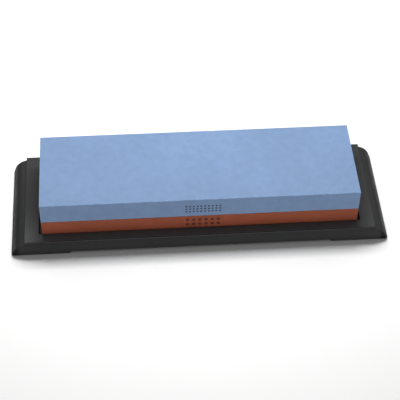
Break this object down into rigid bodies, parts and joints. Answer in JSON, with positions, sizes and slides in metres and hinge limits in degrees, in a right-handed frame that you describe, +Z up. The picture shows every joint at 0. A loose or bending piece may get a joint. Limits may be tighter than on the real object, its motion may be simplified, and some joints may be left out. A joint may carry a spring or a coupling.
{
  "type": "sharpening whetstone",
  "caption": "Two-layer rectangular sharpening stone, fine grit over coarse, standing loose in the pocket of a low moulded base with rounded ends and rubber feet.",
  "frame": {"origin": "middle of the footprint, on the surface that the rubber feet stand on", "axes": "+X along the stone's length, +Y across its width towards the back, +Z up"},
  "size_m": [0.24, 0.074, 0.0377],
  "materials": {
    "fine_abrasive": "matte",
    "bond_resin": "satin",
    "coarse_abrasive": "matte",
    "base_plastic": "satin",
    "pad_rubber": "matte"
  },
  "bodies": {
    "base": {"base_tray": "base_plastic", "foot_pad_front_left": "pad_rubber", "foot_pad_front_right": "pad_rubber", "foot_pad_back_left": "pad_rubber", "foot_pad_back_right": "pad_rubber"},
    "stone": {"fine_layer": "fine_abrasive", "bond_film": "bond_resin", "coarse_layer": "coarse_abrasive"}
  },
  "joints": [
    {"name": "stone_lift", "type": "slide", "parent": "base", "child": "stone", "axis": [0, 0, 1], "range_m": [0, 0.045]}
  ]
}
